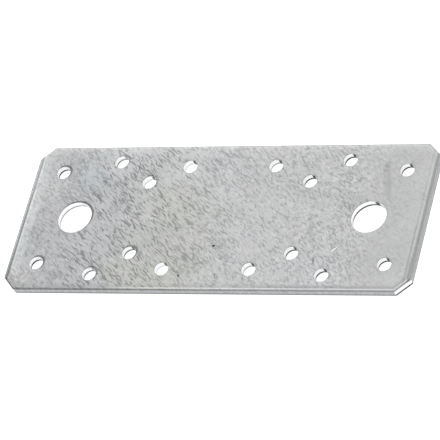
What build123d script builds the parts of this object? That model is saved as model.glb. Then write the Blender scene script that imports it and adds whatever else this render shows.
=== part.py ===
"""Flat mending plate that ties two timbers together, 140 x 55 x 2.5 mm.

The real plate is one piece of galvanised steel strip. A press pierces its holes and crops its outline
from the same side, so every edge is rolled over at the face, cut smooth below that, and torn back a
little at the back. The solid has those three bands on its outline and in every hole.

Frame, in millimetres: the plate lies on its back, +X runs along it and +Z points out of its face.
The origin is the middle of the back.
"""

import os

from build123d import *

# The blank.
LENGTH = 140.0
WIDTH = 55.0
THICKNESS = 2.5
CORNER_CLIP = 4.5
CLIP_ROUNDING = 0.8

# A bolt hole near each end, on the long centre line.
BOLT_HOLE_DIAMETER = 11.6
BOLT_END_DISTANCE = 19.0

# Nail holes, four alike in the four quarters. The outer two spots are set out from the plate's end and
# the inner two from the joint between the timbers, which the middle of the plate lies over. All are
# set in from the long edge. No two lie in one row of fibres, so the nails don't split the timber.
NAIL_HOLE_DIAMETER = 4.8
OUTER_NAILS = [(10.0, 10.0), (30.0, 6.0)]  # (distance from the end, distance from the edge)
INNER_NAILS = [(28.0, 14.0), (15.0, 8.0)]  # (distance from the joint, distance from the edge)

# What the press leaves, which grows with the sheet. At the face the metal is drawn down into a slope
# that curves into it: wide on the cropped outline, and small round the holes, where the punch fits
# its die closely. At the back is a torn, tapered band.
OUTLINE_ROLL_WIDTH = THICKNESS * 0.18
HOLE_ROLL_WIDTH = THICKNESS * 0.06
ROLL_SLOPE = 0.66  # depth over width
ROLL_RADIUS_TO_WIDTH = 2.2
TORN_HEIGHT = THICKNESS * 0.32
TORN_TAPER = THICKNESS * 0.05

half_length = LENGTH / 2
half_width = WIDTH / 2
nail_spots = [(half_length - from_end, half_width - from_edge) for from_end, from_edge in OUTER_NAILS]
nail_spots += [(from_joint, half_width - from_edge) for from_joint, from_edge in INNER_NAILS]

os.makedirs("parts", exist_ok=True)

with BuildPart() as mending_plate:
    # Blank: a strip with its four corners clipped at 45 degrees.
    with BuildSketch() as blank:
        Rectangle(LENGTH, WIDTH)
        chamfer(blank.vertices(), length=CORNER_CLIP)
        fillet(blank.vertices(), radius=CLIP_ROUNDING)
    extrude(amount=THICKNESS)

    # Bolt holes, one near each end.
    with GridLocations(2 * (half_length - BOLT_END_DISTANCE), 0, 2, 1):
        Hole(radius=BOLT_HOLE_DIAMETER / 2)

    # Nail holes: each spot is mirrored about both centre lines.
    for along, across in nail_spots:
        with GridLocations(2 * along, 2 * across, 2, 2):
            Hole(radius=NAIL_HOLE_DIAMETER / 2)

    # Face edges roll over, on the outline and then round every hole: a slope, its crest rounded off.
    for rims_of, width in ((Face.outer_wire, OUTLINE_ROLL_WIDTH), (Face.inner_wires, HOLE_ROLL_WIDTH)):
        face = mending_plate.faces().sort_by(Axis.Z)[-1]
        chamfer(rims_of(face).edges(), length=width, length2=width * ROLL_SLOPE, reference=face)
        face = mending_plate.faces().sort_by(Axis.Z)[-1]
        fillet(rims_of(face).edges(), radius=width * ROLL_RADIUS_TO_WIDTH)

    # Back edges are torn back: the holes widen there and the outline shrinks.
    back = mending_plate.faces().sort_by(Axis.Z)[0]
    chamfer(back.edges(), length=TORN_TAPER, length2=TORN_HEIGHT, reference=back)

mending_plate.part.label = "mending_plate"
export_step(mending_plate.part, "parts/mending_plate.step")
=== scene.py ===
from math import radians, sqrt

import bpy
from mathutils import Matrix, Vector


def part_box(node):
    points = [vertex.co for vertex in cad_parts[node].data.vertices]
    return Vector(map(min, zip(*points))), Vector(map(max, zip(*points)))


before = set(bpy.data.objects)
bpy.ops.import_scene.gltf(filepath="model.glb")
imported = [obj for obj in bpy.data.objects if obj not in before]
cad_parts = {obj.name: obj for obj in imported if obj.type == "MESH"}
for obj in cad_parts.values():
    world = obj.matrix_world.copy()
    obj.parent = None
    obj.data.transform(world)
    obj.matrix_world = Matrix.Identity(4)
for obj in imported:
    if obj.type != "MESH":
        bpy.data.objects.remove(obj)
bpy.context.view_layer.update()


# ---------------------------------------------------------------------------
# Plate. One blank of 2.5 mm galvanised strip, pierced and cropped from its
# face, so it lies as one piece of bare sheet with nothing fixed to it. This
# section reads its size and opens the material that the next three build up.

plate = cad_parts["mending_plate"]
LOW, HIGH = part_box("mending_plate")
MM = 0.001

# The plate is centred and lies at height 0, so its high corner gives half its length and width, in mm.
HALF_LENGTH, HALF_WIDTH, THICKNESS = (side / MM for side in HIGH)


def add_node(tree, kind, settings=None, **inputs):
    """Adds a node and sets its inputs, which go by name or by number, as _0.

    An input is a plain value, or the socket or the node that feeds it.
    """
    node = tree.nodes.new(kind)
    for name, value in (settings or {}).items():
        setattr(node, name, value)
    for name, value in inputs.items():
        socket = node.inputs[int(name[1:])] if name[1:].isdigit() else node.inputs[name.replace("_", " ")]
        if isinstance(value, bpy.types.Node):
            value = value.outputs[0]
        if isinstance(value, bpy.types.NodeSocket):
            tree.links.new(value, socket)
        else:
            socket.default_value = value
    return node


def new_material(name):
    material = bpy.data.materials.new(name)
    material.use_nodes = True
    material.node_tree.nodes.clear()
    return material, material.node_tree


galvanised, zinc = new_material("galvanised_steel_sheet")
place = add_node(zinc, "ShaderNodeTexCoord").outputs
in_mm = add_node(zinc, "ShaderNodeVectorMath", {"operation": "SCALE"}, _0=place["Object"], Scale=1 / MM)
along, across, height = add_node(zinc, "ShaderNodeSeparateXYZ", Vector=in_mm).outputs
to_right, to_back, upward = add_node(zinc, "ShaderNodeSeparateXYZ", Vector=place["Normal"]).outputs


# ---------------------------------------------------------------------------
# Zinc skin. Hot zinc freezes on the strip as it leaves the bath and is rolled
# down to a dull grey, a little bluer here and greener there. Short dark flecks
# lie slantwise where the skin pulled thin, thickest left of the middle.

def linear(hex_colour):
    """The linear colour of an sRGB hex value."""
    channels = [int(hex_colour[i:i + 2], 16) / 255 for i in (1, 3, 5)]
    return [c / 12.92 if c <= 0.04045 else ((c + 0.055) / 1.055) ** 2.4 for c in channels] + [1.0]


def overlap(*shares):
    """The share of the surface where all these shares overlap, which is their product."""
    product = shares[0]
    for share in shares[1:]:
        product = add_node(zinc, "ShaderNodeMath", {"operation": "MULTIPLY"}, _0=product, _1=share)
    return product


def band(value, *edges):
    """1 inside a band; each of its edges is a pair, from where it is 0 to where it is 1."""
    return overlap(*[add_node(zinc, "ShaderNodeMapRange", {"interpolation_type": "SMOOTHSTEP"},
                              Value=value, From_Min=outside, From_Max=inside)
                     for outside, inside in edges])


def lay(under, over, *shares):
    """Lays one colour over another, as far as the shares overlap."""
    under, over = (linear(colour) if isinstance(colour, str) else colour for colour in (under, over))
    return add_node(zinc, "ShaderNodeMix", {"data_type": "RGBA"}, _0=overlap(*shares),
                    _6=under, _7=over).outputs[2]


# A ripple of about a millimetre keeps the grains below from running dead straight.
RIPPLE_LENGTH, RIPPLE_HEIGHT = 4.0, 1.1
ripple = add_node(zinc, "ShaderNodeTexNoise", Vector=in_mm, Scale=1 / RIPPLE_LENGTH, Detail=2.0)
rippled = add_node(zinc, "ShaderNodeVectorMath", {"operation": "MULTIPLY_ADD"},
                   _0=ripple.outputs["Color"], _1=(RIPPLE_HEIGHT, RIPPLE_HEIGHT, 0.0), _2=in_mm)


def grain(length, width, angle, detail=2.0, offset=0.0, bend=0.0):
    """Noise whose grains are length by width in mm, turned by angle in degrees."""
    spread = add_node(zinc, "ShaderNodeMapping", {"vector_type": "TEXTURE"}, Vector=rippled,
                      Location=(offset, 0.0, 0.0), Rotation=(0.0, 0.0, radians(angle)),
                      Scale=(length, width, width))
    return add_node(zinc, "ShaderNodeTexNoise", Vector=spread, Scale=1.0, Detail=detail, Distortion=bend)


def oval(x, y, length, width, angle=0.0, wobble=0.0):
    """Distance from x, y in mm, 1 on an oval of length by width turned by angle, with a wobble added."""
    laid = add_node(zinc, "ShaderNodeMapping", {"vector_type": "TEXTURE"}, Vector=in_mm,
                    Location=(x, y, THICKNESS), Rotation=(0.0, 0.0, radians(angle)),
                    Scale=(length / 2, width / 2, 1.0))
    reach = add_node(zinc, "ShaderNodeVectorMath", {"operation": "LENGTH"}, _0=laid)
    return add_node(zinc, "ShaderNodeMath", {"operation": "ADD"}, _0=reach.outputs["Value"], _1=wobble)


cloudy = grain(26.0, 18.0, 20.0, detail=1.0)
ragged = add_node(zinc, "ShaderNodeMath", {"operation": "MULTIPLY_ADD"}, _0=cloudy, _1=1.5, _2=-0.75)
skin = lay("#B9BABA", "#BEBFBF", band(cloudy, (0.42, 0.6)))
BLUISH, GREENISH, PALE, DULL, TEAL = "#B4B6B8", "#BABCB6", "#C5C7C8", "#AAACAD", "#B2B9BB"
for x, y, length, width, share, tint in (
        (-46.0, -8.0, 70.0, 84.0, 0.85, BLUISH), (-16.0, -10.0, 44.0, 70.0, 0.8, GREENISH),
        (-6.0, 22.0, 44.0, 34.0, 0.6, PALE), (5.0, -4.0, 36.0, 60.0, 0.4, PALE),
        (32.0, -22.0, 40.0, 26.0, 0.5, PALE), (-38.0, 24.0, 18.0, 16.0, 0.7, PALE),
        (-62.0, -4.0, 18.0, 30.0, 0.45, DULL), (-24.0, -8.0, 30.0, 20.0, 0.3, DULL),
        (36.0, 7.0, 30.0, 18.0, 0.3, DULL), (62.0, 0.0, 22.0, 70.0, 0.2, DULL),
        (-49.0, 18.0, 12.0, 22.0, 0.5, TEAL)):
    cloud = oval(x, y, length, width, wobble=ragged)
    skin = lay(skin, tint, band(cloud, (1.1, 0.4)), share)

warmer = grain(9.0, 6.0, 60.0, detail=1.0, offset=90.0)
skin = lay(skin, "#C0BDBE", band(warmer, (0.48, 0.64)), 0.35)

calmer_right_end = add_node(zinc, "ShaderNodeMath", {"operation": "MULTIPLY_ADD"},
                            _0=band(along, (60.0, 44.0)), _1=0.4, _2=0.25)
weathered = add_node(zinc, "ShaderNodeMath", {"operation": "MULTIPLY_ADD"},
                     _0=band(along, (14.0, -30.0), (-62.0, -42.0)), _1=0.35, _2=calmer_right_end)

# The flecks are 2 to 3 mm long and half a millimetre wide, and shorter and plumper toward both ends.
SLANT = -38.0
crowding = grain(8.0, 5.0, SLANT, offset=40.0)


def flecks(*strokes):
    """The darkest of several layers of strokes, each given by length, width, angle and offset."""
    darkest = 0.0
    for length, width, angle, offset in strokes:
        stroke = grain(length, width, angle, detail=0.0, offset=offset, bend=0.15)
        crowded = add_node(zinc, "ShaderNodeMath", {"operation": "MULTIPLY_ADD"},
                           _0=crowding, _1=0.3, _2=stroke)
        darkest = add_node(zinc, "ShaderNodeMath", {"operation": "MAXIMUM"},
                           _0=band(crowded, (0.75, 0.95)), _1=darkest)
    return darkest


long_flecks = flecks((3.2, 0.45, SLANT, 0.0), (2.4, 0.45, -50.0, 13.0), (2.6, 0.5, -30.0, 27.0))
short_flecks = flecks((2.2, 0.62, -30.0, 51.0), (1.8, 0.66, -42.0, 63.0), (2.0, 0.62, -56.0, 77.0))
fleck = overlap(long_flecks, band(along, (22.0, -2.0), (-76.0, -46.0)))
for side in (band(along, (-24.0, 6.0)), band(along, (-40.0, -60.0))):
    fleck = add_node(zinc, "ShaderNodeMath", {"operation": "MAXIMUM"},
                     _0=fleck, _1=overlap(short_flecks, side))

# The skin's own grit is about 0.2 mm, too fine to show, so the speckle is drawn at about 1 mm.
speckle = grain(1.4, 0.9, SLANT, detail=3.0, offset=80.0, bend=0.5)
streak = grain(3.8, 0.65, -42.0, detail=1.0, offset=60.0, bend=0.2)
slanted = band(along, (30.0, -10.0), (-74.0, -44.0))
streaky = add_node(zinc, "ShaderNodeMath", {"operation": "MULTIPLY_ADD"}, _0=slanted, _1=0.4, _2=0.05)
mottle = add_node(zinc, "ShaderNodeMix", _0=streaky, _2=speckle, _3=streak)
light_share = add_node(zinc, "ShaderNodeMath", {"operation": "MULTIPLY_ADD"}, _0=slanted, _1=-0.14, _2=0.34)
dark_share = add_node(zinc, "ShaderNodeMath", {"operation": "MULTIPLY_ADD"}, _0=slanted, _1=-0.2, _2=0.45)
fleck_share = add_node(zinc, "ShaderNodeMath", {"operation": "MULTIPLY_ADD"}, _0=slanted, _1=0.05, _2=0.48)
thin_skin = overlap(fleck, weathered, fleck_share)
skin = lay(skin, "#F0F1F2", band(mottle, (0.5, 0.3)), weathered, light_share)
skin = lay(skin, "#85878A", band(mottle, (0.5, 0.7)), weathered, dark_share)
skin = lay(skin, "#4E5053", thin_skin)


# ---------------------------------------------------------------------------
# Marks on the skin. The left end is painted brighter, a painted highlight, and a
# brown stain lies at its near corner. A drawn line runs inside the right end, and
# handling left pits, nicks, a scribed line and soft smears; one nick has a painted highlight beside it.

# A painted highlight brightens the left end in patches, fading toward the back, with a brighter strip at
# its rim.
patchy = band(grain(14.0, 14.0, 0.0, offset=31.0), (0.35, 0.6))
left_end_highlight_strength = add_node(zinc, "ShaderNodeMath", {"operation": "MULTIPLY_ADD"}, _0=patchy, _1=0.12, _2=0.09)
fading = add_node(zinc, "ShaderNodeMath", {"operation": "MULTIPLY_ADD"},
                  _0=band(across, (4.0, 24.0)), _1=-0.6, _2=1.0)
left_end_highlight = add_node(zinc, "ShaderNodeMath", {"operation": "MULTIPLY_ADD"},
                   _0=band(along, (-67.6, -68.3)), _1=0.3,
                   _2=overlap(band(along, (-64.4, -66.0)), left_end_highlight_strength, fading))
skin = lay(skin, "#F0F4F6", left_end_highlight)
to_near_corner = add_node(zinc, "ShaderNodeMath", {"operation": "ADD"}, _0=along, _1=across)
skin = lay(skin, "#98928A", band(to_near_corner, (-84.0, -92.0)), band(speckle, (0.35, 0.65)), 0.6)


def cross_line(at, outer, inner):
    """A line straight across the plate, 0 at outer mm from its middle and 1 at inner mm."""
    from_line = add_node(zinc, "ShaderNodeMath", {"operation": "SUBTRACT"}, _0=along, _1=at)
    off_line = add_node(zinc, "ShaderNodeMath", {"operation": "ABSOLUTE"}, _0=from_line)
    return band(off_line, (outer, inner))


DRAWN_LINE = 67.6
uneven = add_node(zinc, "ShaderNodeMath", {"operation": "MULTIPLY_ADD"}, _0=patchy, _1=0.25, _2=0.15)
skin = lay(skin, "#77797B", cross_line(DRAWN_LINE, 0.4, 0.1), uneven)

PIT, NICK, PAINTED_HIGHLIGHT = "#37383A", "#5E6062", "#FFFFFF"
# The last entry is a painted highlight along one edge of the nick beside it.
for x, y, length, width, angle, share, shade in (
        (0.9, -10.9, 1.0, 0.9, 0.0, 1.0, PIT), (-8.5, -22.1, 1.3, 0.7, -50.0, 0.8, PIT),
        (4.1, -22.1, 2.2, 0.45, 103.0, 0.5, NICK), (0.2, -13.1, 1.4, 0.4, -45.0, 0.6, NICK),
        (4.4, -15.7, 1.5, 0.45, -20.0, 0.6, NICK), (6.8, -16.8, 0.9, 0.5, -20.0, 0.7, NICK),
        (36.1, -16.3, 3.4, 0.5, 103.0, 0.7, NICK), (41.7, -11.8, 2.4, 0.4, 42.0, 0.5, NICK),
        (-33.1, 19.3, 12.5, 0.35, 90.0, 0.4, NICK), (-35.1, -4.5, 2.0, 0.5, 68.0, 0.5, NICK),
        (-33.9, -4.7, 2.6, 0.5, -47.0, 0.5, NICK), (54.0, 14.0, 14.0, 3.0, 104.0, 0.16, NICK),
        (33.0, -6.0, 12.0, 2.5, 104.0, 0.14, NICK), (42.1, -12.1, 2.4, 0.4, 42.0, 0.8, PAINTED_HIGHLIGHT)):
    skin = lay(skin, shade, band(oval(x, y, length, width, angle), (1.2, 0.6)), share)


# ---------------------------------------------------------------------------
# Cut walls. The press rolls the zinc over the rim. The walls of the holes and
# clipped corners are painted bright, with a torn dark line at the back, and the
# long sides and ends a duller grey; the difference is painted light and shade.

CORNER_CLIP = 4.5
from_middle = add_node(zinc, "ShaderNodeVectorMath", {"operation": "ABSOLUTE"}, _0=in_mm)
far_along, far_across, _ = add_node(zinc, "ShaderNodeSeparateXYZ", Vector=from_middle).outputs
from_end = add_node(zinc, "ShaderNodeMath", {"operation": "SUBTRACT"}, _0=HALF_LENGTH, _1=far_along)
from_side = add_node(zinc, "ShaderNodeMath", {"operation": "SUBTRACT"}, _0=HALF_WIDTH, _1=far_across)
past_clip = add_node(zinc, "ShaderNodeMath", {"operation": "ADD"}, _0=from_end, _1=from_side)
from_clip = add_node(zinc, "ShaderNodeMath", {"operation": "MULTIPLY_ADD"},
                     _0=past_clip, _1=sqrt(0.5), _2=-CORNER_CLIP * sqrt(0.5))
from_outline = add_node(zinc, "ShaderNodeMath", {"operation": "MINIMUM"}, _0=from_end, _1=from_side)
from_outline = add_node(zinc, "ShaderNodeMath", {"operation": "MINIMUM"}, _0=from_outline, _1=from_clip)

# The rim is a lip that slopes, with a painted highlight on the crest just inside it. Behind the front rim
# the face is painted a shade darker, as painted shade, and along the back it is painted a shade brighter,
# as a painted highlight.
front = band(across, (-10.0, -20.0))
front_shade_share = add_node(zinc, "ShaderNodeMath", {"operation": "MULTIPLY_ADD"},
                   _0=band(along, (5.0, 40.0)), _1=0.21, _2=0.24)
skin = lay(skin, "#85878A", band(from_outline, (2.8, 1.2)), front, front_shade_share)
skin = lay(skin, PAINTED_HIGHLIGHT, band(across, (23.0, 27.0)), 0.1)
front_crest_highlight = overlap(band(along, (-42.0, -12.0)), 0.42)
crest_highlight_share = add_node(zinc, "ShaderNodeMix", _0=front, _2=0.12, _3=front_crest_highlight)
skin = lay(skin, PAINTED_HIGHLIGHT, band(from_outline, (1.15, 0.85), (0.4, 0.5)), crest_highlight_share)

# Painted shade darkens the lip where it faces left, and a little in a speckle everywhere; painted
# highlights brighten it where it faces right and, more toward the right, where it faces the front.
lip = band(upward, (0.965, 0.9), (0.5, 0.7))
lip_shade_share = add_node(zinc, "ShaderNodeMath", {"operation": "MULTIPLY_ADD"},
                     _0=band(to_right, (-0.15, -0.4)), _1=0.7, _2=overlap(band(speckle, (0.4, 0.6)), 0.2))
skin = lay(skin, "#6C6E70", lip, lip_shade_share)
skin = lay(skin, PAINTED_HIGHLIGHT, lip, band(to_right, (0.2, 0.5)), 0.5)
skin = lay(skin, PAINTED_HIGHLIGHT, lip, band(to_back, (-0.2, -0.5)), band(along, (-50.0, 50.0)), 0.35)

# A dark line of painted shade runs along the rim of each end, darker toward the front at the left.
LEFT_RIM, RIGHT_RIM = -68.95, 69.15
left_rim_shade_share = add_node(zinc, "ShaderNodeMath", {"operation": "MULTIPLY_ADD"},
                      _0=band(across, (0.0, 14.0)), _1=-0.17, _2=0.72)
skin = lay(skin, "#5E6060", cross_line(LEFT_RIM, 0.6, 0.2), left_rim_shade_share)
skin = lay(skin, "#5E6060", cross_line(RIGHT_RIM, 0.6, 0.2), 0.5)

# Painted shade darkens the face beside the holes at the left, in an arc on the side away from the end.
NAIL_HOLE, BOLT_HOLE = 4.8, 11.6
for x, y, hole, share in ((-60.0, 17.5, NAIL_HOLE, 0.75), (-60.0, -17.5, NAIL_HOLE, 0.75),
                          (-40.0, 21.5, NAIL_HOLE, 0.35), (-40.0, -21.5, NAIL_HOLE, 0.6),
                          (-51.0, 0.0, BOLT_HOLE, 0.75), (-28.0, 13.5, NAIL_HOLE, 0.35),
                          (-28.0, -13.5, NAIL_HOLE, 0.6)):
    rim_shade_arc = band(oval(x + 0.4, y + 0.3, hole + 0.6, hole + 0.6), (1.03, 0.97))
    skin = lay(skin, "#646668", rim_shade_arc, share)

right_end = band(to_right, (0.4, 0.8))
# The walls of the long sides and ends are painted a dull grey, as painted shade, darker at the torn foot;
# the wall facing right is painted a little darker still, with painted shade along its top.
outline_wall_painted_dull = lay("#AEB0B2", "#BCBEC0", band(grain(0.5, 3.0, 0.0, offset=3.0), (0.4, 0.6)))
outline_wall_painted_dull = lay(outline_wall_painted_dull, "#8F9092", band(height, (0.95, 0.75)))
outline_wall_painted_dull = lay(outline_wall_painted_dull, "#B0B2B4", right_end, 0.5)
outline_wall_painted_dull = lay(outline_wall_painted_dull, "#6E7072", right_end, band(height, (1.7, 2.1)), 0.45)

diagonal = add_node(zinc, "ShaderNodeMath", {"operation": "ABSOLUTE"}, _0=overlap(to_right, to_back))
pierced = band(from_outline, (0.8, 1.2))
clipped = band(diagonal, (0.2, 0.35))
holes_and_clips = add_node(zinc, "ShaderNodeMath", {"operation": "MAXIMUM"}, _0=pierced, _1=clipped)

# The torn line is faintest near the middle. Painted shade climbs the walls of the holes at the left that
# face the front.
FAINTEST, SHADED_FACING = -12.0, (-0.26, -0.966, 0.0)
from_faintest = add_node(zinc, "ShaderNodeMath", {"operation": "SUBTRACT"}, _0=along, _1=FAINTEST)
off_faintest = add_node(zinc, "ShaderNodeMath", {"operation": "ABSOLUTE"}, _0=from_faintest)
in_holes = add_node(zinc, "ShaderNodeMath", {"operation": "MULTIPLY_ADD"},
                    _0=band(off_faintest, (12.0, 42.0)), _1=0.75, _2=0.25)
torn_line = add_node(zinc, "ShaderNodeMix", _0=pierced, _2=1.0, _3=in_holes)
by_bolt_hole = band(far_across, (9.0, 7.0))
fainter = add_node(zinc, "ShaderNodeMath", {"operation": "MULTIPLY_ADD"},
                   _0=overlap(by_bolt_hole, band(along, (0.0, -40.0))), _1=-0.4, _2=1.0)
near_left = overlap(band(along, (-20.0, -26.0)), band(across, (-4.0, -10.0)), 0.8)
torn_line = add_node(zinc, "ShaderNodeMath", {"operation": "MAXIMUM"},
                     _0=overlap(torn_line, fainter), _1=near_left)
torn_line = overlap(band(height, (0.9, 0.7)), torn_line)

towards = add_node(zinc, "ShaderNodeVectorMath", {"operation": "DOT_PRODUCT"},
                   _0=place["Normal"], _1=SHADED_FACING).outputs["Value"]
narrower = add_node(zinc, "ShaderNodeMath", {"operation": "MULTIPLY_ADD"},
                    _0=by_bolt_hole, _1=-0.016, _2=towards)
painted_shade_patch = overlap(band(narrower, (0.963, 0.984)), pierced,
                band(along, (-62.0, -20.0)), band(height, (2.45, 2.1)))
torn_line_and_shade = add_node(zinc, "ShaderNodeMath", {"operation": "MAXIMUM"}, _0=torn_line, _1=painted_shade_patch)
# The walls of the holes and clipped corners are painted near white, as painted light, and dark along the
# torn line and the painted shade.
cut_wall_painted_bright = lay("#F6F7F8", "#38393B", torn_line_and_shade)

level = add_node(zinc, "ShaderNodeMath", {"operation": "ABSOLUTE"}, _0=upward)
wall = band(level, (0.6, 0.3))
colour = lay(skin, lay(outline_wall_painted_dull, cut_wall_painted_bright, holes_and_clips), wall)

# Rolled zinc gives a soft, dull mirror, rougher in its flecks, and the walls of the holes and clipped
# corners a sharper one. The flecks lie a hair below the skin.
SKIN_ROUGHNESS, FLECK_DEPTH = 0.48, 0.07 * MM
rougher = add_node(zinc, "ShaderNodeMath", {"operation": "MULTIPLY_ADD"},
                   _0=thin_skin, _1=0.1, _2=SKIN_ROUGHNESS)
dullness = add_node(zinc, "ShaderNodeMath", {"operation": "MULTIPLY_ADD"},
                    _0=overlap(wall, holes_and_clips), _1=-0.15, _2=rougher)
sunken = add_node(zinc, "ShaderNodeMath", {"operation": "MULTIPLY_ADD"},
                  _0=fleck, _1=-1.0, _2=overlap(mottle, 0.6))
raised = add_node(zinc, "ShaderNodeBump", Strength=0.5, Distance=FLECK_DEPTH,
                  Height=overlap(sunken, weathered))
shell = add_node(zinc, "ShaderNodeBsdfPrincipled", Base_Color=colour, Metallic=1.0, Roughness=dullness,
                 Normal=raised)
add_node(zinc, "ShaderNodeOutputMaterial", Surface=shell)
plate.data.materials[0] = galvanised


# ---------------------------------------------------------------------------
# Table. A plain white studio table, painted matt, that runs out of sight under
# the plate. It glows to the camera and in the metal that mirrors it, so that it
# looks white without any more light on the plate.

TABLE_SIZE = 12.0
bpy.ops.object.select_all(action="DESELECT")
bpy.ops.mesh.primitive_plane_add(size=TABLE_SIZE, location=(0.0, 0.0, LOW[2]))
table = bpy.context.object
table.name = "table"
white_table, top = new_material("white_table_top")
ray = add_node(top, "ShaderNodeLightPath").outputs
mirrored = add_node(top, "ShaderNodeMath", {"operation": "MULTIPLY"}, _0=ray["Is Glossy Ray"], _1=0.6)
glow = add_node(top, "ShaderNodeMath", {"operation": "MULTIPLY_ADD"},
                _0=ray["Is Camera Ray"], _1=0.8, _2=mirrored)
paint = add_node(top, "ShaderNodeBsdfDiffuse", Color=linear("#F2F2F2"))
lit = add_node(top, "ShaderNodeEmission", Color=linear("#FFFFFF"), Strength=glow)
painted = add_node(top, "ShaderNodeAddShader", _0=paint, _1=lit)
add_node(top, "ShaderNodeOutputMaterial", Surface=painted)
table.data.materials.append(white_table)


# ---------------------------------------------------------------------------
# Lights. A broad soft box behind the plate, which the face mirrors, a second
# one in front for the cut walls, and a pale room that is dimmer in front.

BOX_SIZE = 2.2


def soft_box(name, location, watts):
    light = bpy.data.lights.new(name, "AREA")
    light.shape = "DISK"
    light.size = BOX_SIZE
    light.energy = watts
    lamp = bpy.data.objects.new(name, light)
    lamp.location = location
    lamp.rotation_euler = Vector(location).to_track_quat("Z", "Y").to_euler()
    bpy.context.scene.collection.objects.link(lamp)


soft_box("overhead_box", (-0.75, 0.9, 1.35), 7.1)
soft_box("low_box", (1.1, -1.2, 1.0), 9.0)

BACK_OF_ROOM = (-0.45, 0.89, 0.0)
room = bpy.data.worlds.new("pale_room")
room.use_nodes = True
air = room.node_tree
air.nodes.clear()
view = add_node(air, "ShaderNodeTexCoord")
to_back_wall = add_node(air, "ShaderNodeVectorMath", {"operation": "DOT_PRODUCT"},
                        _0=view.outputs["Generated"], _1=BACK_OF_ROOM).outputs["Value"]
brightness = add_node(air, "ShaderNodeMapRange", {"interpolation_type": "SMOOTHSTEP"}, Value=to_back_wall,
                      From_Min=0.2, From_Max=0.65, To_Min=0.45, To_Max=0.9)
walls_of_room = add_node(air, "ShaderNodeBackground", Color=linear("#FFFFFF"), Strength=brightness)
backdrop = add_node(air, "ShaderNodeBackground", Color=linear("#FFFFFF"), Strength=1.0)
path = add_node(air, "ShaderNodeLightPath").outputs
seen = add_node(air, "ShaderNodeMixShader", _0=path["Is Camera Ray"], _1=walls_of_room, _2=backdrop)
add_node(air, "ShaderNodeOutputWorld", Surface=seen)
bpy.context.scene.world = room


# ---------------------------------------------------------------------------
# Camera. A long lens, high over the plate's front right corner, tilted so that
# the long edges lie level.

AZIMUTH, ELEVATION, TILT = radians(39.59), radians(48.99), radians(-32.07)
DISTANCE = 1.1
AIM = Vector((-0.74 * MM, 0.53 * MM, 0.0))

turn = Matrix.Rotation(AZIMUTH, 3, "Z") @ Matrix.Rotation(radians(90) - ELEVATION, 3, "X")
lens = bpy.data.cameras.new("long_lens")
lens.sensor_width = 36.0
lens.lens = 284.8
lens.clip_end = 20.0
camera = bpy.data.objects.new("camera", lens)
stand = Matrix.Translation(AIM + turn @ Vector((0, 0, DISTANCE)))
camera.matrix_world = stand @ (turn @ Matrix.Rotation(TILT, 3, "Z")).to_4x4()
bpy.context.scene.collection.objects.link(camera)
bpy.context.scene.camera = camera
bpy.context.scene.view_settings.view_transform = "Standard"
